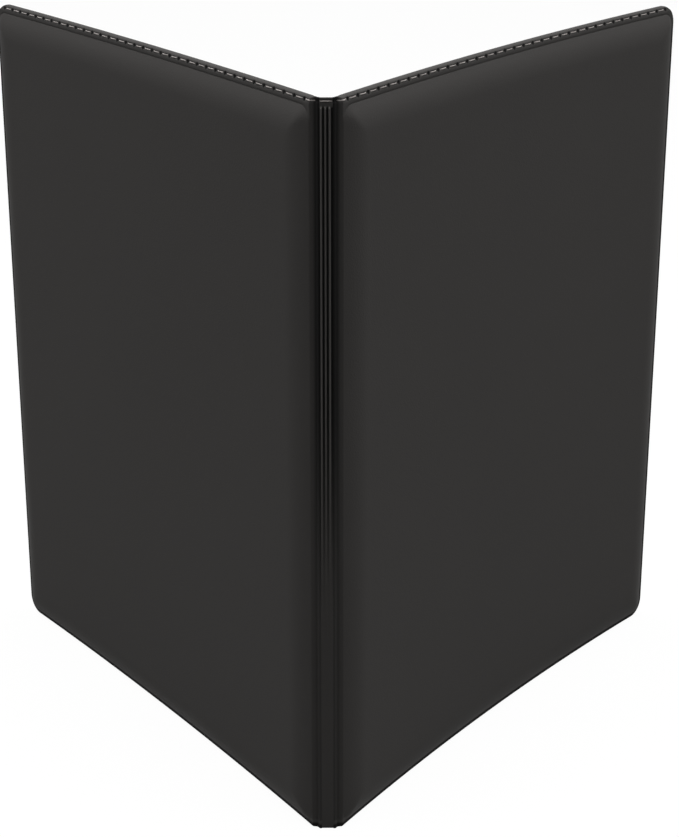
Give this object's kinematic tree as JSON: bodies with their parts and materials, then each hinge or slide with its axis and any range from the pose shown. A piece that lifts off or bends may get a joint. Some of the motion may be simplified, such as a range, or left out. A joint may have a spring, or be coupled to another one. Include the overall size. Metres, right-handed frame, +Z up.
{
  "type": "document organizer",
  "caption": "Slim padded document organizer for letter paper, standing open on its bottom edges: two hinged covers, a ribbed spine and sewn inner pockets.",
  "frame": {"origin": "foot of the spine, in the middle of the spine skin's thickness, on the plane that the organizer stands on", "axes": "+Z up along the spine, +Y into the space between the covers, +X towards the front cover"},
  "size_m": [0.3146, 0.2143, 0.312],
  "materials": {
    "skin": "matte embossed",
    "lining": "matte",
    "pocket": "matte",
    "board": "raw grey board",
    "foam": "open foam"
  },
  "bodies": {
    "spine": {"spine_skin": "skin", "spine_lining": "lining"},
    "front_cover": {"front_skin": "skin", "front_foam": "foam", "front_board": "board", "front_lining": "lining", "front_document_pocket": "pocket", "tall_card_pocket": "pocket", "short_card_pocket": "pocket"},
    "back_cover": {"back_skin": "skin", "back_foam": "foam", "back_board": "board", "back_lining": "lining", "back_document_pocket": "pocket"}
  },
  "joints": [
    {"name": "front_cover_hinge", "type": "hinge", "parent": "spine", "child": "front_cover", "pos_m": [0.00292, 0.00032, 0], "axis": [0, 0, 1], "range_deg": [-53, 31.5]},
    {"name": "back_cover_hinge", "type": "hinge", "parent": "spine", "child": "back_cover", "pos_m": [-0.00292, 0.00032, 0], "axis": [0, 0, -1], "range_deg": [-54.5, 32]}
  ]
}
